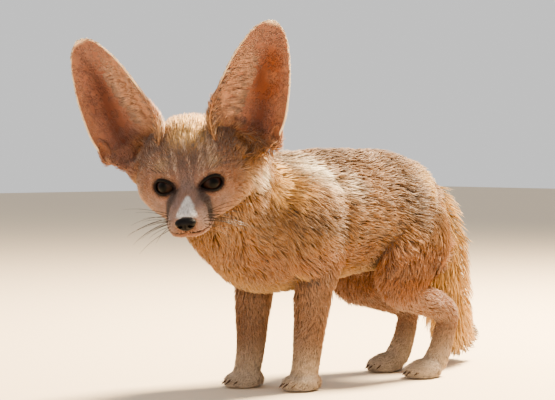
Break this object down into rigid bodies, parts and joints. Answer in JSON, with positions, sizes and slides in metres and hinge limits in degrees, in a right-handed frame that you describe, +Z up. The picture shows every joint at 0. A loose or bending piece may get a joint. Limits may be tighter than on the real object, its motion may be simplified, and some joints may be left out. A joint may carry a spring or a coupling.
{
  "type": "fennec fox",
  "caption": "Life-size standing fennec fox with large upright ears, a bushy tail and its head turned to its left.",
  "frame": {"origin": "on the floor, under the middle of the fox's whole outline", "axes": "+Z up, -Y the way the trunk faces, +X to the fox's left"},
  "size_m": [0.1416, 0.4462, 0.2905],
  "materials": {
    "sandy_fur": "matt dense fur",
    "pale_fur": "matt short fur",
    "ear_skin": "soft thin skin with fine hair",
    "eye": "wet and glossy",
    "nose_skin": "moist and grained"
  },
  "bodies": {
    "root": {"head": "pale_fur", "neck": "sandy_fur", "torso": "sandy_fur", "tail": "sandy_fur", "tail_end": "sandy_fur", "foreleg_left": "pale_fur", "foreleg_right": "pale_fur", "hindleg_left": "sandy_fur", "hindleg_right": "sandy_fur", "ear_left": "ear_skin", "ear_right": "ear_skin", "eye_left": "eye", "eye_right": "eye", "nose": "nose_skin"}
  },
  "joints": []
}
